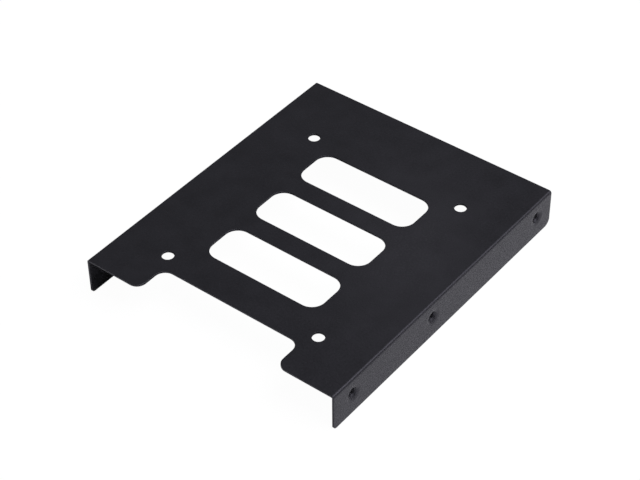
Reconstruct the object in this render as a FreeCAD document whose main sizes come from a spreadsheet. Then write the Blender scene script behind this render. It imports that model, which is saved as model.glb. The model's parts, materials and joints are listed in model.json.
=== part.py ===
"""Drive bay adapter bracket: carries one 2.5 inch drive in a 3.5 inch drive bay.

The bracket is a single blank of steel sheet, punched and then folded down along both
long sides into a shallow channel. It stands on the free edges of its two flanges.
Frame, in millimetres: X across the bay, Y along it with the connector notch at -Y, Z up.
The origin is the middle of the footprint, level with the flanges' free edges.
"""

import FreeCAD
import Part

import math
import os
from enum import IntEnum
from types import SimpleNamespace

import Sketcher

NODE = "drive_bay_bracket"
PARTS_FOLDER = "parts"

# Driving dimensions, in millimetres unless the note says otherwise.
DIMENSIONS = [
    ("sheet_thickness", 0.8, "steel sheet with its coat"),
    ("bend_inner_radius", 0.2, "inside radius of both folds"),
    ("bay_width", 101.6, "3.5 inch bay, wall to wall"),
    ("bay_clearance", 0.5, "between each flange and the wall beside it"),
    ("flange_height", 14.3, "flange edge to the outer face of the plate"),
    ("flange_front_radius", 1.3, "flange corners at the notch end"),
    ("flange_rear_radius", 2.5, "flange corners at the plain end"),
    ("notch_width", 56.0, "clearance for the drive's connectors"),
    ("notch_depth", 11.9, "front edge to the bottom of the notch"),
    ("notch_corner_radius", 3.9, "hollow corners of the notch"),
    ("tab_corner_radius", 3.6, "rounded corners of the tabs beside the notch"),
    ("slot_length", 46.0, "air slot, across the plate"),
    ("slot_width", 16.4, "air slot, along the plate"),
    ("slot_corner_radius", 5.0, "air slot corners"),
    ("slot_count", 3, "number of air slots"),
    ("slot_pitch", 24.0, "from one air slot to the next"),
    ("slot_front_offset", 33.8, "front edge to the middle of the first slot"),
    ("drive_hole_diameter", 4.2, "clearance for the drive's screws"),
    ("drive_hole_across", 61.72, "standard 2.5 inch pattern, across"),
    ("drive_hole_along", 76.6, "standard 2.5 inch pattern, along"),
    ("drive_hole_front_offset", 17.4, "front edge to the first pair of holes"),
    ("bay_hole_drop", 6.35, "outer face of the plate to the bay screw holes"),
    ("bay_hole_front_offset", 9.6, "front edge to the first bay screw hole"),
    ("bay_hole_gap_front", 41.6, "first to second bay screw hole"),
    ("bay_hole_gap_rear", 60.0, "second to third bay screw hole"),
    ("bay_hole_rear_offset", 8.4, "third bay screw hole to the rear edge"),
    ("bay_bore_diameter", 2.85, "bay screw hole, tapping size"),
    ("bay_lip_radius", 0.8, "rounded mouth where the sheet is drawn in"),
    ("bay_collar_wall", 0.55, "wall of the drawn collar"),
    ("bay_collar_length", 1.3, "flange's inner face to the collar's end"),
    ("bay_collar_root_radius", 0.3, "collar to the flange's inner face"),
]
CELL = {name: f"Dimensions.{name}" for name, _, _ in DIMENSIONS}

# Sizes that follow from the driving ones.
CELL["bend_outer_radius"] = "(Dimensions.bend_inner_radius + Dimensions.sheet_thickness)"
CELL["bracket_width"] = "(Dimensions.bay_width - 2 * Dimensions.bay_clearance)"
CELL["bracket_length"] = (
    "(Dimensions.bay_hole_front_offset + Dimensions.bay_hole_gap_front"
    " + Dimensions.bay_hole_gap_rear + Dimensions.bay_hole_rear_offset)"
)
CELL["flange_outer_face"] = f"({CELL['bracket_width']} / 2)"
CELL["flange_inner_face"] = f"({CELL['flange_outer_face']} - Dimensions.sheet_thickness)"
CELL["rear_edge"] = f"({CELL['bracket_length']} / 2)"
CELL["front_edge"] = f"(-{CELL['bracket_length']} / 2)"
CELL["collar_diameter"] = "(Dimensions.bay_bore_diameter + 2 * Dimensions.bay_collar_wall)"

NEAR = 1e-4  # two lengths closer than this are the same


class Point(IntEnum):
    """The points of an edge that a sketch constraint can name."""

    START = 1
    END = 2
    CENTRE = 3


class Axis(IntEnum):
    """The sketch's own axes, as a constraint names them."""

    ACROSS = -1
    UP = -2


class Quadrant(IntEnum):
    """Where a quarter circle starts, in degrees anticlockwise from the right."""

    UPPER_RIGHT = 0
    UPPER_LEFT = 90
    LOWER_LEFT = 180
    LOWER_RIGHT = 270


SKETCH_ORIGIN = (int(Axis.ACROSS), int(Point.START))


class Outline:
    """A sketch on one of the body's origin planes, with sizes bound to the cells."""

    def __init__(self, body, name, plane, **shift):
        """Attach the sketch. shift holds the expressions of its offsets x, y and z."""
        self.sketch = body.newObject("Sketcher::SketchObject", name)
        self.sketch.AttachmentSupport = [(origin_feature(body, plane), "")]
        self.sketch.MapMode = "FlatFace"
        for axis, expression in shift.items():
            self.sketch.setExpression(f".AttachmentOffset.Base.{axis}", expression)
        self.arcs = set()
        self.hollows = set()

    def line(self, start, end):
        """Add a straight edge and return its number."""
        first, last = (FreeCAD.Vector(x, y, 0) for x, y in (start, end))
        return self.sketch.addGeometry(Part.LineSegment(first, last), False)

    def circle(self, centre, diameter):
        """Add a full circle and return its number."""
        ring = Part.Circle(FreeCAD.Vector(*centre, 0), FreeCAD.Vector(0, 0, 1), diameter / 2)
        return self.sketch.addGeometry(ring, False)

    def quarter(self, centre, radius, quadrant, hollow=False):
        """Add a quarter circle that fills a quadrant and return its number.

        A hollow arc is one that the outline follows backwards, from its end to its start.
        """
        ring = Part.Circle(FreeCAD.Vector(*centre, 0), FreeCAD.Vector(0, 0, 1), radius)
        start = math.radians(quadrant)
        arc = Part.ArcOfCircle(ring, start, start + math.pi / 2)
        number = self.sketch.addGeometry(arc, False)
        self.arcs.add(number)
        if hollow:
            self.hollows.add(number)
        return number

    def relate(self, kind, *where):
        """Add a geometric constraint."""
        self.sketch.addConstraint(Sketcher.Constraint(kind, *map(int, where)))

    def size(self, kind, *where, cell):
        """Add a dimension at its present value and bind it to an expression of cells."""
        value = self.sketch.evalExpression(cell)
        constraint = Sketcher.Constraint(kind, *map(int, where), value)
        index = self.sketch.addConstraint(constraint)
        self.sketch.setExpression(f"Constraints[{index}]", cell)

    def close(self, *edges):
        """Join the edges end to end into one loop, tangent wherever an arc meets a line."""
        for edge, following in zip(edges, edges[1:] + edges[:1]):
            kind = "Tangent" if self.arcs & {edge, following} else "Coincident"
            leave = Point.START if edge in self.hollows else Point.END
            enter = Point.END if following in self.hollows else Point.START
            self.relate(kind, edge, leave, following, enter)


def origin_feature(body, role):
    """Find one of the body's origin planes or axes."""
    return next(item for item in body.Origin.OriginFeatures if item.Role == role)


def add_dimensions(doc):
    """Write the driving dimensions to a spreadsheet and return every size as a number."""
    sheet = doc.addObject("Spreadsheet::Sheet", "Dimensions")
    for row, (name, value, note) in enumerate(DIMENSIONS, start=1):
        sheet.set(f"A{row}", name)
        sheet.set(f"B{row}", str(value))
        sheet.setAlias(f"B{row}", name)
        sheet.set(f"C{row}", note)
    doc.recompute()
    return SimpleNamespace(**{name: sheet.evalExpression(cell) for name, cell in CELL.items()})


def add_feature(body, kind, name, grows, **settings):
    """Add a solid feature to the body and check that it adds or removes metal.

    A setting whose value is text starting with an equals sign is bound as an expression.
    """
    before = 0 if body.Shape.isNull() else body.Shape.Volume
    feature = body.newObject(f"PartDesign::{kind}", name)
    for setting, value in settings.items():
        if isinstance(value, str) and value.startswith("="):
            feature.setExpression(setting, value[1:])
        else:
            setattr(feature, setting, value)
    body.Tip = feature
    body.Document.recompute()
    change = body.Shape.Volume - before
    if change * (1 if grows else -1) <= 0:
        raise RuntimeError(f"{name} changed the volume by {change:.4f} mm3")
    return feature


def round_edges(body, name, test, radius, grows=False):
    """Round every edge of the body that passes a test."""
    numbered = enumerate(body.Shape.Edges, start=1)
    edges = [f"Edge{number}" for number, edge in numbered if test(edge)]
    add_feature(body, "Fillet", name, grows, Base=(body.Tip, edges), Radius="=" + CELL[radius])


def corner(x, y, z=None):
    """Make a test for a straight edge across the sheet at a corner, on both sides.

    With z, the edge crosses a flange along X; without, it crosses the plate along Z.
    """
    direction = FreeCAD.Vector(1, 0, 0) if z is not None else FreeCAD.Vector(0, 0, 1)

    def test(edge):
        if not isinstance(edge.Curve, Part.Line) or not edge.Curve.Direction.isParallel(direction, NEAR):
            return False
        middle = edge.CenterOfMass
        at_height = z is None or abs(middle.z - z) < NEAR
        return abs(abs(middle.x) - x) < NEAR and abs(middle.y - y) < NEAR and at_height

    return test


def ring(distance, radius):
    """Make a test for a circle about the X direction, at a distance from the middle plane."""

    def test(edge):
        if not isinstance(edge.Curve, Part.Circle):
            return False
        in_plane = abs(abs(edge.Curve.Center.x) - distance) < NEAR
        return in_plane and abs(edge.Curve.Radius - radius) < NEAR

    return test


def fold_channel(body, size):
    """Make the folded section, plate, bends and flanges, along the whole length."""
    out, within = size.flange_outer_face, size.flange_inner_face
    inner, outer = size.bend_inner_radius, size.bend_outer_radius
    side = out - outer
    spring = size.flange_height - outer
    under = size.flange_height - size.sheet_thickness
    section = Outline(body, "ChannelSection", "XZ_Plane")
    right = section.line((out, 0), (out, spring))
    right_bend = section.quarter((side, spring), outer, Quadrant.UPPER_RIGHT)
    top = section.line((side, size.flange_height), (-side, size.flange_height))
    left_bend = section.quarter((-side, spring), outer, Quadrant.UPPER_LEFT)
    left = section.line((-out, spring), (-out, 0))
    left_foot = section.line((-out, 0), (-within, 0))
    left_inside = section.line((-within, 0), (-within, spring))
    left_hollow = section.quarter((-side, spring), inner, Quadrant.UPPER_LEFT, hollow=True)
    underside = section.line((-side, under), (side, under))
    right_hollow = section.quarter((side, spring), inner, Quadrant.UPPER_RIGHT, hollow=True)
    right_inside = section.line((within, spring), (within, 0))
    right_foot = section.line((within, 0), (out, 0))
    section.close(
        right, right_bend, top, left_bend, left, left_foot,
        left_inside, left_hollow, underside, right_hollow, right_inside, right_foot,
    )
    for edge in (right, left, left_inside, right_inside):
        section.relate("Vertical", edge)
    for edge in (left_foot, underside, right_foot):
        section.relate("Horizontal", edge)
    section.relate("Coincident", left_bend, Point.CENTRE, left_hollow, Point.CENTRE)
    section.relate("Coincident", right_bend, Point.CENTRE, right_hollow, Point.CENTRE)
    section.relate("Equal", left_bend, right_bend)
    section.relate("Symmetric", top, Point.START, top, Point.END, Axis.UP)
    section.relate("PointOnObject", right, Point.START, Axis.ACROSS)
    section.relate("PointOnObject", left, Point.END, Axis.ACROSS)
    section.size("DistanceX", left, Point.END, right, Point.START, cell=CELL["bracket_width"])
    section.size("DistanceY", *SKETCH_ORIGIN, top, Point.START, cell=CELL["flange_height"])
    section.size("DistanceX", right_foot, Point.START, right_foot, Point.END, cell=CELL["sheet_thickness"])
    section.size("Radius", right_hollow, cell=CELL["bend_inner_radius"])
    add_feature(
        body, "Pad", "Channel", grows=True,
        Profile=section.sketch, Midplane=True, Length="=" + CELL["bracket_length"],
    )


def plate_outline(body, name):
    """Start a sketch on the plate's outer face, with its origin amid the front edge."""
    return Outline(body, name, "XY_Plane", y=CELL["front_edge"], z=CELL["flange_height"])


def cut_notch(body, size):
    """Cut the connector notch out of the front edge, leaving a tab on each side."""
    half, depth = size.notch_width / 2, size.notch_depth
    notch = plate_outline(body, "NotchOutline")
    near = notch.line((-half, -depth), (half, -depth))
    right = notch.line((half, -depth), (half, depth))
    far = notch.line((half, depth), (-half, depth))
    left = notch.line((-half, depth), (-half, -depth))
    notch.close(near, right, far, left)
    for edge in (right, left):
        notch.relate("Vertical", edge)
    for edge in (near, far):
        notch.relate("Horizontal", edge)
    notch.relate("Symmetric", near, Point.START, far, Point.START, *SKETCH_ORIGIN)
    notch.size("DistanceX", near, Point.START, near, Point.END, cell=CELL["notch_width"])
    notch.size("DistanceY", *SKETCH_ORIGIN, far, Point.START, cell=CELL["notch_depth"])
    add_feature(body, "Pocket", "Notch", grows=False, Profile=notch.sketch, Type="ThroughAll")
    inner_end = corner(half, size.front_edge + depth)
    round_edges(body, "NotchCorners", inner_end, "notch_corner_radius", grows=True)
    round_edges(body, "TabCorners", corner(half, size.front_edge), "tab_corner_radius")


def cut_slots(body, size):
    """Cut the row of air slots, each a long window with round corners."""
    radius = size.slot_corner_radius
    out = size.slot_length / 2
    along = out - radius
    near = size.slot_front_offset - size.slot_width / 2
    far = near + size.slot_width
    slot = plate_outline(body, "SlotOutline")
    front = slot.line((-along, near), (along, near))
    front_right = slot.quarter((along, near + radius), radius, Quadrant.LOWER_RIGHT)
    right = slot.line((out, near + radius), (out, far - radius))
    rear_right = slot.quarter((along, far - radius), radius, Quadrant.UPPER_RIGHT)
    rear = slot.line((along, far), (-along, far))
    rear_left = slot.quarter((-along, far - radius), radius, Quadrant.UPPER_LEFT)
    left = slot.line((-out, far - radius), (-out, near + radius))
    front_left = slot.quarter((-along, near + radius), radius, Quadrant.LOWER_LEFT)
    slot.close(front, front_right, right, rear_right, rear, rear_left, left, front_left)
    for edge in (right, left):
        slot.relate("Vertical", edge)
    slot.relate("Horizontal", rear)
    for other in (rear_right, rear_left, front_left):
        slot.relate("Equal", front_right, other)
    slot.relate("Symmetric", front, Point.START, front, Point.END, Axis.UP)
    slot.size("DistanceX", left, Point.START, right, Point.START, cell=CELL["slot_length"])
    slot.size("DistanceY", front, Point.END, rear, Point.START, cell=CELL["slot_width"])
    slot.size("Radius", front_right, cell=CELL["slot_corner_radius"])
    near_edge = f"{CELL['slot_front_offset']} - {CELL['slot_width']} / 2"
    slot.size("DistanceY", *SKETCH_ORIGIN, front, Point.START, cell=near_edge)
    first = add_feature(body, "Pocket", "Slot", grows=False, Profile=slot.sketch, Type="ThroughAll")
    add_feature(
        body, "LinearPattern", "SlotRow", grows=False,
        Originals=[first], Direction=(origin_feature(body, "Y_Axis"), [""]), Mode="Spacing",
        Offset="=" + CELL["slot_pitch"], Occurrences="=" + CELL["slot_count"],
    )


def drill_drive_holes(body, size):
    """Drill the four clearance holes of the drive's bottom pattern."""
    half = size.drive_hole_across / 2
    near = size.drive_hole_front_offset
    far = near + size.drive_hole_along
    holes = plate_outline(body, "DriveHoleCircles")
    front_left, front_right, rear_left, rear_right = (
        holes.circle((x, y), size.drive_hole_diameter) for y in (near, far) for x in (-half, half)
    )
    for other in (front_right, rear_left, rear_right):
        holes.relate("Equal", front_left, other)
    for left, right in ((front_left, front_right), (rear_left, rear_right)):
        holes.relate("Symmetric", left, Point.CENTRE, right, Point.CENTRE, Axis.UP)
    holes.relate("Vertical", front_left, Point.CENTRE, rear_left, Point.CENTRE)
    middle = (front_left, Point.CENTRE)
    holes.size("Diameter", front_left, cell=CELL["drive_hole_diameter"])
    holes.size("DistanceX", *middle, front_right, Point.CENTRE, cell=CELL["drive_hole_across"])
    holes.size("DistanceY", *middle, rear_left, Point.CENTRE, cell=CELL["drive_hole_along"])
    holes.size("DistanceY", *SKETCH_ORIGIN, *middle, cell=CELL["drive_hole_front_offset"])
    add_feature(body, "Pocket", "DriveHoles", grows=False, Profile=holes.sketch, Type="ThroughAll")


def bay_circles(body, size, name, plane_at, diameter):
    """Draw one row of bay screw circles, looking along X, in the plane of a flange face.

    The sketch's origin is where the plate's outer face meets the front edge.
    """
    row = Outline(body, name, "YZ_Plane", x=CELL["front_edge"], y=CELL["flange_height"], z=CELL[plane_at])
    across = vars(size)[diameter]
    place = size.bay_hole_front_offset
    circles = []
    for gap in (0, size.bay_hole_gap_front, size.bay_hole_gap_rear):
        place += gap
        circles.append(row.circle((place, -size.bay_hole_drop), across))
    first, second, third = circles
    for other in (second, third):
        row.relate("Equal", first, other)
        row.relate("Horizontal", first, Point.CENTRE, other, Point.CENTRE)
    row.size("Diameter", first, cell=CELL[diameter])
    row.size("DistanceX", *SKETCH_ORIGIN, first, Point.CENTRE, cell=CELL["bay_hole_front_offset"])
    row.size("DistanceX", first, Point.CENTRE, second, Point.CENTRE, cell=CELL["bay_hole_gap_front"])
    row.size("DistanceX", second, Point.CENTRE, third, Point.CENTRE, cell=CELL["bay_hole_gap_rear"])
    row.size("DistanceY", first, Point.CENTRE, *SKETCH_ORIGIN, cell=CELL["bay_hole_drop"])
    return row.sketch


def draw_bay_holes(body, size):
    """Draw the bay screw holes inward through both flanges, each with its own collar."""
    collars = bay_circles(body, size, "CollarCircles", "flange_inner_face", "collar_diameter")
    row = add_feature(
        body, "Pad", "Collars", grows=True,
        Profile=collars, Reversed=True, Length="=" + CELL["bay_collar_length"],
    )
    add_feature(
        body, "Mirrored", "FarCollars", grows=True,
        Originals=[row], MirrorPlane=(origin_feature(body, "YZ_Plane"), [""]),
    )
    bores = bay_circles(body, size, "BoreCircles", "flange_outer_face", "bay_bore_diameter")
    add_feature(body, "Pocket", "Bores", grows=False, Profile=bores, Type="ThroughAll")
    roots = ring(size.flange_inner_face, size.collar_diameter / 2)
    round_edges(body, "CollarRoots", roots, "bay_collar_root_radius", grows=True)
    mouths = ring(size.flange_outer_face, size.bay_bore_diameter / 2)
    round_edges(body, "BoreMouths", mouths, "bay_lip_radius")


def round_flanges(body, size):
    """Round the free corners of both flanges, at the notch end and at the plain end."""
    middle = (size.flange_outer_face + size.flange_inner_face) / 2
    round_edges(body, "FlangeFrontCorners", corner(middle, size.front_edge, 0), "flange_front_radius")
    round_edges(body, "FlangeRearCorners", corner(middle, size.rear_edge, 0), "flange_rear_radius")


def check_document(doc, body):
    """Stop unless every object is sound and the bracket is one valid solid."""
    for item in doc.Objects:
        if {"Invalid", "Error"} & set(item.State):
            raise RuntimeError(f"{item.Name} failed: {item.State}")
        if item.TypeId == "Sketcher::SketchObject" and not item.FullyConstrained:
            raise RuntimeError(f"{item.Name} isn't fully constrained")
    shape = body.Shape
    if shape.isNull() or not shape.isValid() or len(shape.Solids) != 1:
        raise RuntimeError(f"{body.Name} isn't one valid solid")


def main():
    """Build the bracket and write it out."""
    doc = FreeCAD.newDocument("DriveBayBracket")
    size = add_dimensions(doc)
    body = doc.addObject("PartDesign::Body", NODE)
    body.Label = NODE
    fold_channel(body, size)
    cut_notch(body, size)
    cut_slots(body, size)
    drill_drive_holes(body, size)
    draw_bay_holes(body, size)
    round_flanges(body, size)
    check_document(doc, body)
    os.makedirs(PARTS_FOLDER, exist_ok=True)
    body.Shape.exportStep(os.path.join(PARTS_FOLDER, f"{NODE}.step"))
    box = body.Shape.BoundBox
    print(f"{NODE}: {box.XLength:.2f} x {box.YLength:.2f} x {box.ZLength:.2f} mm,", end=" ")
    print(f"{body.Shape.Volume:.1f} mm3, {len(body.Shape.Faces)} faces")


main()
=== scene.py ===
"""The drive bay adapter bracket, made as a press shop makes it.

A flat blank of sheet steel is punched, its bay screw holes are drawn and tapped, both flanges are folded
down, and the sheet gets a black powder coat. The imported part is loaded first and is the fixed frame.
"""

import json
import logging
import math
from dataclasses import dataclass, field
from enum import Enum
from typing import Any

import bmesh
import bpy
from mathutils import Matrix, Vector


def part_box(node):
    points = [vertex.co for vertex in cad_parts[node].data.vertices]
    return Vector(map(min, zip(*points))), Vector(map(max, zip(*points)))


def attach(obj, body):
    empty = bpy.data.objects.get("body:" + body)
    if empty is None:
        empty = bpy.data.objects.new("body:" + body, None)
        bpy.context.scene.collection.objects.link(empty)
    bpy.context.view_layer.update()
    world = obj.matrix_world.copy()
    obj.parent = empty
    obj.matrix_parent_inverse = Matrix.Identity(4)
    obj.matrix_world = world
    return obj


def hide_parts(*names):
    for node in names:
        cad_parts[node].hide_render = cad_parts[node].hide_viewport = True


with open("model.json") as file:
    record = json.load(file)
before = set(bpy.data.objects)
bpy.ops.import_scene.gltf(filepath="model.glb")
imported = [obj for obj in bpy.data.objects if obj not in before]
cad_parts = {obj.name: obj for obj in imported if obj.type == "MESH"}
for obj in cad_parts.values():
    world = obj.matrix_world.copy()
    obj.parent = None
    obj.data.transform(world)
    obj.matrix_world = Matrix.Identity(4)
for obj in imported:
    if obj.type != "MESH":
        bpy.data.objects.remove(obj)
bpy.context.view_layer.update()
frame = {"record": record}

NODE = "drive_bay_bracket"
BODY = "root"

# The sheet is worked in millimetres and scaled to metres last.
MM = 0.001
MERGE_DISTANCE = 0.0005
MOUNT_DIGITS = 3
SHARP_ANGLE = math.radians(60)

# The sRGB curve: a straight foot up to the knee, and a power above it.
BYTE_MAX = 255
SRGB_KNEE = 0.04045
SRGB_FOOT = 12.92
SRGB_OFFSET = 0.055
SRGB_POWER = 2.4

# The coat is neither metal nor glass, and a white room in its sheen would wash the black out. So only the
# camera sees the background's white, and the coat reflects the lit paper and the dim room.
CAMERA_RAY = "Is Camera Ray"
FULL_WHITE = 1.0

log = logging.getLogger("bracket")


class Side(Enum):
    """The two long sides of the bracket, by the sign of X."""

    LEFT = -1
    RIGHT = 1


def linear_colour(code: str) -> tuple[float, float, float, float]:
    """Turns an sRGB hex colour into the linear colour that a socket takes.

    Args:
        code: Six hex digits after a hash sign.

    Returns:
        Red, green, blue and alpha.
    """
    shares = [int(code[start : start + 2], 16) / BYTE_MAX for start in (1, 3, 5)]
    red, green, blue = (
        share / SRGB_FOOT
        if share <= SRGB_KNEE
        else ((share + SRGB_OFFSET) / (1 + SRGB_OFFSET)) ** SRGB_POWER
        for share in shares
    )
    return red, green, blue, 1.0


def add_node(
    tree: bpy.types.NodeTree,
    kind: str,
    settings: dict[str, Any] | None = None,
    values: dict[str | int, Any] | None = None,
    links: dict[str | int, bpy.types.NodeSocket] | None = None,
) -> bpy.types.Node:
    """Adds a node with its settings, its sockets' values and the links that come in.

    Args:
        tree: The node tree that gets the node.
        kind: The node's type name.
        settings: The node's own properties by name.
        values: Values of input sockets by name or number.
        links: Output sockets that feed input sockets, by the input's name or number.

    Returns:
        The new node.
    """
    node = tree.nodes.new(kind)
    for name, setting in (settings or {}).items():
        setattr(node, name, setting)
    for name, value in (values or {}).items():
        node.inputs[name].default_value = value
    for name, socket in (links or {}).items():
        tree.links.new(socket, node.inputs[name])
    return node


def clean_tree(owner: bpy.types.Material | bpy.types.World) -> bpy.types.NodeTree:
    """Switches an owner's nodes on and empties them.

    Args:
        owner: A material or a world.

    Returns:
        Its empty node tree.
    """
    owner.use_nodes = True
    owner.node_tree.nodes.clear()
    return owner.node_tree


def add_object(name: str, data: bpy.types.ID) -> bpy.types.Object:
    """Puts data into the scene as an object at the origin.

    Args:
        name: The object's name.
        data: A mesh, lamp or camera.

    Returns:
        The new object.
    """
    item = bpy.data.objects.new(name, data)
    bpy.context.scene.collection.objects.link(item)
    return item


@dataclass(frozen=True)
class Corner:
    """A corner of an outline and the radius that rounds it, in millimetres."""

    first: float
    second: float
    radius: float = 0.0


@dataclass(frozen=True)
class PowderCoat:
    """Black polyester powder coat on steel: sprayed dry, then baked until it flows together.

    The baked film is a matt plastic skin. It shows the grey of a lamp only as a wide soft sheen, has a fine
    even grain all over, and rounds every cut edge a little.
    """

    name: str = "black_powder_coat"
    colour: str = "#1a1a1d"
    light_colour: str = "#2b2b2f"
    sheen_colour: str = "#f3f0ff"
    roughness: float = 0.36
    rough_spread: float = 0.09
    ior: float = 1.5
    cloud_size: float = 8.0
    cloud_detail: float = 5.0
    grain_size: float = 0.75
    grain_detail: float = 2.0
    grain_height: float = 0.032
    grain_low: float = 0.3
    grain_high: float = 0.7

    def material(self) -> bpy.types.Material:
        """Makes the coat's material.

        Returns:
            The material, drawn on Object coordinates in metres.
        """
        # Powder baked on steel is a plastic skin: to the eye it is black and matt, with a wide soft sheen.
        coat = bpy.data.materials.new(self.name)
        tree = clean_tree(coat)
        place = add_node(tree, "ShaderNodeTexCoord").outputs["Object"]
        # The sprayed film is a little thicker here and thinner there, which shows as faint clouds.
        clouds = add_node(
            tree,
            "ShaderNodeTexNoise",
            values={"Scale": 1 / (self.cloud_size * MM), "Detail": self.cloud_detail},
            links={"Vector": place},
        )
        # The real grain is about 0.2 mm. It is drawn coarser, because finer grain wouldn't show.
        grain = add_node(
            tree,
            "ShaderNodeTexNoise",
            values={"Scale": 1 / (self.grain_size * MM), "Detail": self.grain_detail},
            links={"Vector": place},
        )
        tint = add_node(
            tree,
            "ShaderNodeMix",
            settings={"data_type": "RGBA"},
            values={"A": linear_colour(self.colour), "B": linear_colour(self.light_colour)},
            links={"Factor": clouds.outputs["Fac"]},
        )
        rough = add_node(
            tree,
            "ShaderNodeMapRange",
            values={
                "From Min": self.grain_low,
                "From Max": self.grain_high,
                "To Min": self.roughness - self.rough_spread,
                "To Max": self.roughness + self.rough_spread,
            },
            links={"Value": grain.outputs["Fac"]},
        )
        bump = add_node(
            tree,
            "ShaderNodeBump",
            values={"Strength": 1.0, "Distance": self.grain_height * MM},
            links={"Height": grain.outputs["Fac"]},
        )
        shader = add_node(
            tree,
            "ShaderNodeBsdfPrincipled",
            values={
                "IOR": self.ior,
                "Metallic": 0.0,
                "Specular Tint": linear_colour(self.sheen_colour),
            },
            links={
                "Base Color": tint.outputs["Result"],
                "Roughness": rough.outputs["Result"],
                "Normal": bump.outputs["Normal"],
            },
        )
        add_node(tree, "ShaderNodeOutputMaterial", links={"Surface": shader.outputs["BSDF"]})
        return coat


@dataclass(frozen=True)
class WhiteSweep:
    """Matt white paper on the floor, lit evenly enough that the camera sees it burn out to white."""

    name: str = "white_paper_floor"
    colour: str = "#f4f4f4"
    white_share: float = 0.974
    shade_share: float = 0.05

    def material(self) -> bpy.types.Material:
        """Makes the floor's material.

        Returns:
            A matt floor that keeps a faint shadow where the camera sees it.
        """
        # Uncoated paper has no gloss: to the eye it is an even white that lights the flanges from below.
        paper = bpy.data.materials.new(self.name)
        tree = clean_tree(paper)
        path = add_node(tree, "ShaderNodeLightPath")
        matt = add_node(tree, "ShaderNodeBsdfDiffuse", values={"Color": linear_colour(self.colour)})
        white = add_node(tree, "ShaderNodeEmission", values={"Strength": self.white_share})
        shade = add_node(
            tree,
            "ShaderNodeBsdfDiffuse",
            values={"Color": (self.shade_share, self.shade_share, self.shade_share, 1.0)},
        )
        seen = add_node(
            tree, "ShaderNodeAddShader", links={0: white.outputs[0], 1: shade.outputs[0]}
        )
        mix = add_node(
            tree,
            "ShaderNodeMixShader",
            links={0: path.outputs[CAMERA_RAY], 1: matt.outputs[0], 2: seen.outputs[0]},
        )
        add_node(tree, "ShaderNodeOutputMaterial", links={"Surface": mix.outputs[0]})
        return paper


@dataclass(frozen=True)
class Fold:
    """The fold of both long sides, in millimetres. The sheet's middle keeps its length in the bend."""

    width: float
    height: float
    thickness: float = 0.8
    inner_radius: float = 0.2
    steps: int = 12

    @property
    def outer_radius(self) -> float:
        """Radius of the bend's outer skin."""
        return self.inner_radius + self.thickness

    @property
    def plate_half(self) -> float:
        """Distance from the centre line to the start of the bend."""
        return self.width / 2 - self.outer_radius

    @property
    def bend_length(self) -> float:
        """Length of the bend in the flat blank."""
        return (self.inner_radius + self.thickness / 2) * math.pi / 2

    @property
    def flange_depth(self) -> float:
        """Straight part of the flange below the bend."""
        return self.height - self.outer_radius

    @property
    def flat_half(self) -> float:
        """Half the flat blank's width."""
        return self.plate_half + self.bend_length + self.flange_depth

    def flat_reach(self, height: float) -> float:
        """Finds where a point of the flange lies in the flat blank.

        Args:
            height: The point's height above the floor when the flange is folded.

        Returns:
            Its distance from the centre line when the blank is flat.
        """
        return self.flat_half - height

    def bend_lines(self) -> list[float]:
        """Lists the distances from the centre line at which the bend is divided."""
        return [self.plate_half + self.bend_length * step / self.steps for step in range(self.steps + 1)]

    def folded(self, point: Vector) -> Vector:
        """Moves a point of the flat blank to its place on the folded bracket.

        Args:
            point: The point on the flat blank, whose outer skin lies at Z 0.

        Returns:
            The point on the bracket, which stands on the floor with its flanges down.
        """
        side = math.copysign(1.0, point.x)
        reach = abs(point.x)
        if reach <= self.plate_half:
            return Vector((point.x, point.y, self.height + point.z))
        angle = min((reach - self.plate_half) / self.bend_length, 1.0) * math.pi / 2
        beyond = max(reach - self.plate_half - self.bend_length, 0.0)
        radius = self.outer_radius + point.z
        across = self.plate_half + radius * math.sin(angle)
        up = self.flange_depth + radius * math.cos(angle) - beyond
        return Vector((side * across, point.y, up))


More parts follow.
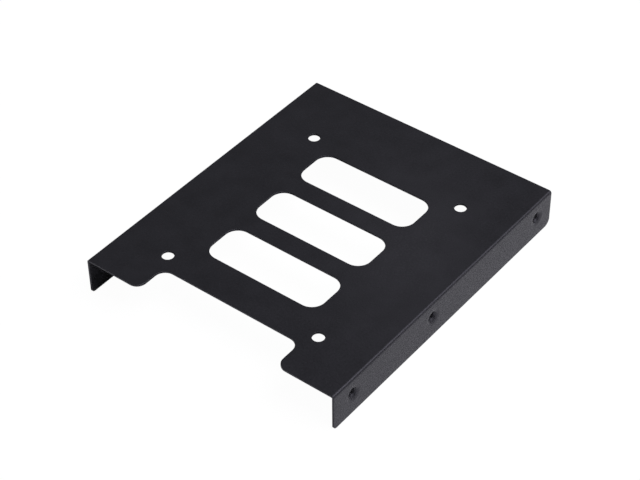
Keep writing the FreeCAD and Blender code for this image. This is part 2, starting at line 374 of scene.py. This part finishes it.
@dataclass(frozen=True)
class Punching:
    """The punched outline and openings of the flat blank, in millimetres."""

    length: float
    flange_front_radius: float = 1.3
    flange_rear_radius: float = 2.5
    notch_width: float = 56.0
    notch_depth: float = 11.9
    notch_radius: float = 3.9
    tab_radius: float = 3.6
    slot_length: float = 46.0
    slot_width: float = 16.4
    slot_radius: float = 5.0
    slot_offset: float = 33.8
    slot_pitch: float = 24.0
    slot_count: int = 3
    arc_steps: int = 10
    hole_steps: int = 48

    def outline(self, flat_half: float) -> list[Corner]:
        """Lists the corners of the blank.

        Args:
            flat_half: Half the flat blank's width.

        Returns:
            The corners in order round the blank, from the front left one.
        """
        front, rear = -self.length / 2, self.length / 2
        notch = self.notch_width / 2
        floor = front + self.notch_depth
        return [
            Corner(-flat_half, front, self.flange_front_radius),
            Corner(-notch, front, self.tab_radius),
            Corner(-notch, floor, self.notch_radius),
            Corner(notch, floor, self.notch_radius),
            Corner(notch, front, self.tab_radius),
            Corner(flat_half, front, self.flange_front_radius),
            Corner(flat_half, rear, self.flange_rear_radius),
            Corner(-flat_half, rear, self.flange_rear_radius),
        ]

    def slots(self) -> list[list[Corner]]:
        """Lists the corners of each air slot.

        Returns:
            One list of corners for each slot, from the notch end.
        """
        across, along = self.slot_length / 2, self.slot_width / 2
        centres = [
            self.slot_offset - self.length / 2 + self.slot_pitch * number
            for number in range(self.slot_count)
        ]
        signs = ((-1, -1), (1, -1), (1, 1), (-1, 1))
        return [
            [Corner(across * one, centre + along * two, self.slot_radius) for one, two in signs]
            for centre in centres
        ]

    def rounded(self, mesh: bmesh.types.BMesh, corners: list[Corner]) -> None:
        """Draws a closed outline with rounded corners at Z 0.

        Args:
            mesh: The mesh that gets the outline.
            corners: The outline's corners in order.
        """
        points = [mesh.verts.new((corner.first, corner.second, 0)) for corner in corners]
        mesh.faces.new(points)
        for point, corner in zip(points, corners):
            bmesh.ops.bevel(
                mesh,
                geom=[point],
                offset=corner.radius,
                segments=self.arc_steps,
                profile=0.5,
                affect="VERTICES",
                material=-1,
            )

    def hole(self, mesh: bmesh.types.BMesh, centre: Vector, radius: float) -> None:
        """Draws the rim of a round hole at Z 0.

        Args:
            mesh: The mesh that gets the rim.
            centre: The hole's centre.
            radius: The hole's radius.
        """
        bmesh.ops.create_circle(
            mesh,
            cap_ends=False,
            radius=radius,
            segments=self.hole_steps,
            matrix=Matrix.Translation(centre),
        )


@dataclass(frozen=True)
class DrawnHole:
    """A bay screw hole drawn inwards and tapped, in millimetres.

    The punch pulls the sheet in round its mouth and leaves a collar behind the flange, which gives the
    screw more turns of thread than the thin sheet would.
    """

    bore_radius: float = 1.425
    dimple_radius: float = 2.85
    dimple_depth: float = 0.34
    dimple_blend: float = 0.72
    lip_radius: float = 2.0
    lip_blend: float = 0.08
    chamfer_depth: float = 0.65
    chamfer_blend: float = 0.15
    collar_wall: float = 0.55
    collar_length: float = 1.3
    collar_rounding: float = 0.08
    root_radius: float = 0.45
    skirt_radius: float = 3.8
    thread_pitch: float = 0.794
    thread_depth: float = 0.33
    thread_fade: float = 0.15
    bore_rows: int = 17
    arc_steps: int = 8

    def section(self, thickness: float) -> list[Corner]:
        """Lists the corners of the drawn rim's section, as distance from the axis and height.

        Args:
            thickness: The sheet's thickness.

        Returns:
            The corners from the outer skin through the bore to the inner skin.
        """
        end = -thickness - self.collar_length
        collar = self.bore_radius + self.collar_wall
        return [
            Corner(self.skirt_radius, 0.0),
            Corner(self.dimple_radius, 0.0, self.dimple_blend),
            Corner(self.lip_radius, -self.dimple_depth, self.lip_blend),
            Corner(self.bore_radius, -self.dimple_depth - self.chamfer_depth, self.chamfer_blend),
            Corner(self.bore_radius, end, self.collar_rounding),
            Corner(collar, end, self.collar_rounding),
            Corner(collar, -thickness, self.root_radius),
            Corner(self.skirt_radius, -thickness),
        ]

    def rim(self, thickness: float, steps: int) -> bpy.types.Mesh:
        """Spins the drawn rim round the Z axis and taps its bore.

        Args:
            thickness: The sheet's thickness.
            steps: How many parts the full turn has.

        Returns:
            The rim's mesh, open at its skirt, where the sheet goes on.
        """
        rim = bmesh.new()
        corners = self.section(thickness)
        points = [rim.verts.new((0.0, corner.first, corner.second)) for corner in corners]
        edges = [rim.edges.new(pair) for pair in zip(points, points[1:])]
        for point, corner in zip(points, corners):
            if corner.radius:
                bmesh.ops.bevel(
                    rim,
                    geom=[point],
                    offset=corner.radius,
                    segments=self.arc_steps,
                    profile=0.5,
                    affect="VERTICES",
                    material=-1,
                )
        wall = max(
            (edge for edge in rim.edges if self.on_bore(edge.verts[0]) and self.on_bore(edge.verts[1])),
            key=lambda edge: edge.calc_length(),
        )
        bmesh.ops.subdivide_edges(rim, edges=[wall], cuts=self.bore_rows)
        bmesh.ops.spin(
            rim,
            geom=rim.verts[:] + rim.edges[:],
            cent=(0, 0, 0),
            axis=(0, 0, 1),
            angle=math.tau,
            steps=steps,
            use_merge=True,
        )
        self.tap(rim, thickness)
        made = bpy.data.meshes.new("drawn_rim")
        rim.to_mesh(made)
        rim.free()
        return made

    def on_bore(self, point: bmesh.types.BMVert) -> bool:
        """Tells whether a point lies on the bore's wall."""
        return abs(point.co.xy.length - self.bore_radius) < MERGE_DISTANCE

    def tap(self, rim: bmesh.types.BMesh, thickness: float) -> None:
        """Cuts a right-hand thread into the bore's wall.

        Args:
            rim: The rim, whose axis is Z.
            thickness: The sheet's thickness.
        """
        top = -self.dimple_depth - self.chamfer_depth - self.chamfer_blend
        bottom = self.collar_rounding - thickness - self.collar_length
        for point in rim.verts:
            if not self.on_bore(point) or not bottom < point.co.z < top:
                continue
            turn = math.atan2(point.co.y, point.co.x) / math.tau
            groove = 0.5 - 0.5 * math.cos(math.tau * (point.co.z / self.thread_pitch - turn))
            fade = min(1.0, (top - point.co.z) / self.thread_fade, (point.co.z - bottom) / self.thread_fade)
            grown = 1 + self.thread_depth * groove * fade / self.bore_radius
            point.co.x *= grown
            point.co.y *= grown


@dataclass(frozen=True)
class BayHole:
    """Where a bay screw hole is on the folded bracket, in millimetres."""

    side: Side
    along: float
    height: float


@dataclass
class DriveBayBracket:
    """The bracket: one blank, punched, drawn, folded and coated. Sizes are in millimetres."""

    fold: Fold
    punching: Punching
    drawn: DrawnHole
    drive_holes: list[Vector]
    drive_hole_radius: float
    bay_holes: list[BayHole]
    coat: PowderCoat = field(default_factory=PowderCoat)
    edge_rounding: float = 0.12
    edge_steps: int = 3

    @classmethod
    def from_frame(cls) -> "DriveBayBracket":
        """Reads the bracket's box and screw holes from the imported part.

        Returns:
            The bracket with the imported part's sizes.
        """
        low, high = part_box(NODE)
        size = (high - low) / MM
        mounts = {mount["name"]: mount for mount in frame["record"]["mounts"]}
        seat = mounts["drive_screw_holes"]
        middle = Vector(seat["pos_m"]) / MM
        across = seat["dims"]["spacing_x_mm"] / 2
        along = seat["dims"]["spacing_y_mm"] / 2
        signs = ((-1, -1), (1, -1), (-1, 1), (1, 1))
        drive_holes = [Vector((one * across, middle.y + two * along, 0)) for one, two in signs]
        bay_holes = set()
        for name, mount in mounts.items():
            if name.startswith("bay_screw_holes"):
                side = Side.RIGHT if mount["axis"][0] > 0 else Side.LEFT
                _, centre, height = (value / MM for value in mount["pos_m"])
                half = mount["dims"]["spacing_x_mm"] / 2
                for place in (centre - half, centre + half):
                    bay_holes.add(BayHole(side, round(place, MOUNT_DIGITS), round(height, MOUNT_DIGITS)))
        return cls(
            fold=Fold(width=size.x, height=size.z),
            punching=Punching(length=size.y),
            drawn=DrawnHole(),
            drive_holes=drive_holes,
            drive_hole_radius=seat["dims"]["hole_r_mm"],
            bay_holes=sorted(bay_holes, key=lambda hole: (hole.side.value, hole.along)),
        )

    def bay_centre(self, hole: BayHole) -> Vector:
        """Finds a bay screw hole's centre on the flat blank.

        Args:
            hole: The hole on the folded bracket.

        Returns:
            Its centre on the blank's outer skin.
        """
        return Vector((hole.side.value * self.fold.flat_reach(hole.height), hole.along, 0))

    def punched(self) -> bmesh.types.BMesh:
        """Punches the flat blank and gives it its thickness.

        Returns:
            The blank, closed except where the bay screw holes will be drawn.
        """
        blank = bmesh.new()
        self.punching.rounded(blank, self.punching.outline(self.fold.flat_half))
        for slot in self.punching.slots():
            self.punching.rounded(blank, slot)
        for centre in self.drive_holes:
            self.punching.hole(blank, centre, self.drive_hole_radius)
        for hole in self.bay_holes:
            self.punching.hole(blank, self.bay_centre(hole), self.drawn.skirt_radius)
        bmesh.ops.delete(blank, geom=blank.faces[:], context="FACES_ONLY")
        bmesh.ops.triangle_fill(
            blank, use_beauty=True, use_dissolve=False, edges=blank.edges[:], normal=(0, 0, 1)
        )
        under = bmesh.ops.extrude_face_region(blank, geom=blank.faces[:])["geom"]
        lowered = [item for item in under if isinstance(item, bmesh.types.BMVert)]
        bmesh.ops.translate(blank, verts=lowered, vec=(0, 0, -self.fold.thickness))
        walls = [face for face in blank.faces if self.in_drawn_hole(face)]
        bmesh.ops.delete(blank, geom=walls, context="FACES")
        return blank

    def in_drawn_hole(self, face: bmesh.types.BMFace) -> bool:
        """Tells whether a face of the blank stands on the rim of a bay screw hole.

        Args:
            face: A face of the blank.

        Returns:
            True for the punched wall that the drawn rim takes the place of.
        """
        middle = face.calc_center_median()
        inside = -self.fold.thickness + MERGE_DISTANCE < middle.z < -MERGE_DISTANCE
        reach = self.drawn.skirt_radius + MERGE_DISTANCE
        return inside and any(
            (middle - self.bay_centre(hole)).xy.length < reach for hole in self.bay_holes
        )

    def soften(self, blank: bmesh.types.BMesh) -> None:
        """Rounds every punched edge, as the coat does.

        Args:
            blank: The punched blank.
        """
        bmesh.ops.recalc_face_normals(blank, faces=blank.faces[:])
        sharp = [
            edge
            for edge in blank.edges
            if len(edge.link_faces) == 2 and edge.calc_face_angle() > SHARP_ANGLE
        ]
        bmesh.ops.bevel(
            blank,
            geom=sharp,
            offset=self.edge_rounding,
            segments=self.edge_steps,
            profile=0.5,
            affect="EDGES",
            material=-1,
            clamp_overlap=False,
        )

    def draw_holes(self, blank: bmesh.types.BMesh) -> None:
        """Sets a drawn rim into each bay screw hole and joins it to the sheet.

        Args:
            blank: The softened blank.
        """
        rim = self.drawn.rim(self.fold.thickness, self.punching.hole_steps)
        for hole in self.bay_holes:
            centre = self.bay_centre(hole)
            rim.transform(Matrix.Translation(centre))
            blank.from_mesh(rim)
            rim.transform(Matrix.Translation(-centre))
        bpy.data.meshes.remove(rim)
        bmesh.ops.remove_doubles(blank, verts=blank.verts[:], dist=MERGE_DISTANCE)

    def fold_down(self, blank: bmesh.types.BMesh) -> None:
        """Divides both bends and folds the flanges down.

        Args:
            blank: The drawn blank.
        """
        for side in Side:
            for line in self.fold.bend_lines():
                bmesh.ops.bisect_plane(
                    blank,
                    geom=blank.verts[:] + blank.edges[:] + blank.faces[:],
                    dist=MERGE_DISTANCE,
                    plane_co=(side.value * line, 0, 0),
                    plane_no=(1, 0, 0),
                )
        for point in blank.verts:
            point.co = self.fold.folded(point.co)

    def build(self) -> bpy.types.Object:
        """Makes the whole bracket and dresses it.

        Returns:
            The bracket, which rides on the frame and stands for its node.
        """
        blank = self.punched()
        self.soften(blank)
        self.draw_holes(blank)
        self.fold_down(blank)
        bmesh.ops.recalc_face_normals(blank, faces=blank.faces[:])
        bmesh.ops.scale(blank, vec=(MM, MM, MM), verts=blank.verts[:])
        open_edges = sum(not edge.is_manifold for edge in blank.edges)
        log.info("sheet: %d faces, %d open edges", len(blank.faces), open_edges)
        made = bpy.data.meshes.new("folded_sheet")
        blank.to_mesh(made)
        blank.free()
        made.shade_smooth()
        made.materials.append(self.coat.material())
        bracket = add_object("folded_sheet", made)
        evened = bracket.modifiers.new("evened_normals", "WEIGHTED_NORMAL")
        evened.keep_sharp = True
        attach(bracket, BODY)
        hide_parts(NODE)
        return bracket


@dataclass(frozen=True)
class SoftBox:
    """A studio lamp behind white cloth, placed round the point that it faces. Lengths are in metres."""

    name: str
    azimuth: float
    elevation: float
    distance: float
    width: float
    height: float
    glow: float
    aim: tuple[float, float, float] = (0.0, 0.0, 0.0)
    colour: str = "#f9f8ff"

    def place(self) -> bpy.types.Object:
        """Hangs the lamp.

        Returns:
            The lamp. A glow of 1 is as bright as white paper.
        """
        lamp = bpy.data.lights.new(self.name, "AREA")
        lamp.shape = "RECTANGLE"
        lamp.size = self.width
        lamp.size_y = self.height
        lamp.energy = self.glow * math.pi * self.width * self.height
        lamp.color = linear_colour(self.colour)[:3]
        turn, rise = math.radians(self.azimuth), math.radians(self.elevation)
        level = math.cos(rise)
        away = Vector((math.sin(turn) * level, -math.cos(turn) * level, math.sin(rise)))
        item = add_object(self.name, lamp)
        item.location = Vector(self.aim) + away * self.distance
        item.rotation_euler = away.to_track_quat("Z", "Y").to_euler()
        return item


@dataclass
class Studio:
    """The white floor, the dim room round it and the soft lamps."""

    floor: WhiteSweep = field(default_factory=WhiteSweep)
    floor_size: float = 12.0
    room_glow: float = 0.13
    room_colour: str = "#ffffff"
    lamps: tuple[SoftBox, ...] = (
        SoftBox("overhead_softbox", 104.0, 64.0, 2.2, 1.6, 1.6, 4.1),
        SoftBox("rear_softbox", 143.0, 39.0, 1.0, 0.6, 0.6, 1.3),
        SoftBox("side_card", 215.0, 42.3, 0.15, 0.04, 0.04, 0.5, aim=(0.030, 0.006, 0.0143)),
    )

    def lay_floor(self) -> bpy.types.Object:
        """Lays the floor under the bracket.

        Returns:
            The floor, which isn't part of the bracket.
        """
        sheet = bmesh.new()
        bmesh.ops.create_grid(sheet, x_segments=1, y_segments=1, size=self.floor_size / 2)
        made = bpy.data.meshes.new("floor")
        sheet.to_mesh(made)
        sheet.free()
        made.materials.append(self.floor.material())
        floor = add_object("floor", made)
        return floor

    def paint_room(self) -> bpy.types.World:
        """Gives the room its dim grey, and its white where the camera sees it.

        Returns:
            The world.
        """
        world = bpy.data.worlds.new("studio_room")
        bpy.context.scene.world = world
        tree = clean_tree(world)
        path = add_node(tree, "ShaderNodeLightPath")
        room = add_node(tree, "ShaderNodeBackground", values={"Strength": self.room_glow})
        white = add_node(tree, "ShaderNodeBackground", values={"Strength": FULL_WHITE})
        for node in (room, white):
            node.inputs["Color"].default_value = linear_colour(self.room_colour)
        mix = add_node(
            tree,
            "ShaderNodeMixShader",
            links={0: path.outputs[CAMERA_RAY], 1: room.outputs[0], 2: white.outputs[0]},
        )
        add_node(tree, "ShaderNodeOutputWorld", links={"Surface": mix.outputs[0]})
        return world

    def build(self) -> None:
        """Sets the studio up round the bracket and reports each piece of it."""
        log.info("stage: %s", self.lay_floor().name)
        log.info("world: %s", self.paint_room().name)
        for lamp in self.lamps:
            log.info("lamp: %s", lamp.place().name)


@dataclass(frozen=True)
class PhotoCamera:
    """The camera at the photograph's angle. Lengths are in metres, the lens and sensor in millimetres."""

    azimuth: float = 38.481
    elevation: float = 41.677
    roll: float = -0.781
    distance: float = 0.601114
    target: tuple[float, float, float] = (0.003704, -0.0068, 0.0143)
    lens: float = 103.81
    sensor: float = 36.0
    nearest: float = 0.01
    farthest: float = 100.0

    def place(self) -> bpy.types.Object:
        """Sets the camera up and makes it the scene's own.

        Returns:
            The camera.
        """
        turn, rise = math.radians(self.azimuth), math.radians(self.elevation)
        level = math.cos(rise)
        back = Vector((math.sin(turn) * level, -math.cos(turn) * level, math.sin(rise)))
        right = (-back).cross(Vector((0, 0, 1))).normalized()
        upright = Matrix((right, back.cross(right), back)).transposed()
        data = bpy.data.cameras.new("photo_camera")
        data.lens = self.lens
        data.sensor_width = self.sensor
        data.clip_start = self.nearest
        data.clip_end = self.farthest
        camera = add_object("photo_camera", data)
        roll = Matrix.Rotation(math.radians(self.roll), 3, "Z")
        camera.rotation_euler = (upright @ roll).to_euler()
        camera.location = Vector(self.target) + back * self.distance
        bpy.context.scene.camera = camera
        return camera


def main() -> None:
    """Builds the bracket, the studio and the camera in order."""
    bpy.context.scene.view_settings.view_transform = "Standard"
    bracket = DriveBayBracket.from_frame()
    piece = bracket.build()
    flat_width = 2 * bracket.fold.flat_half
    log.info("bracket: %s, blank %.1f x %.1f mm", piece.name, flat_width, bracket.punching.length)
    Studio().build()
    camera = PhotoCamera().place()
    log.info("camera: %s", camera.name)


if __name__ == "__main__":
    logging.basicConfig(level=logging.INFO, format="%(name)s: %(message)s")
    main()
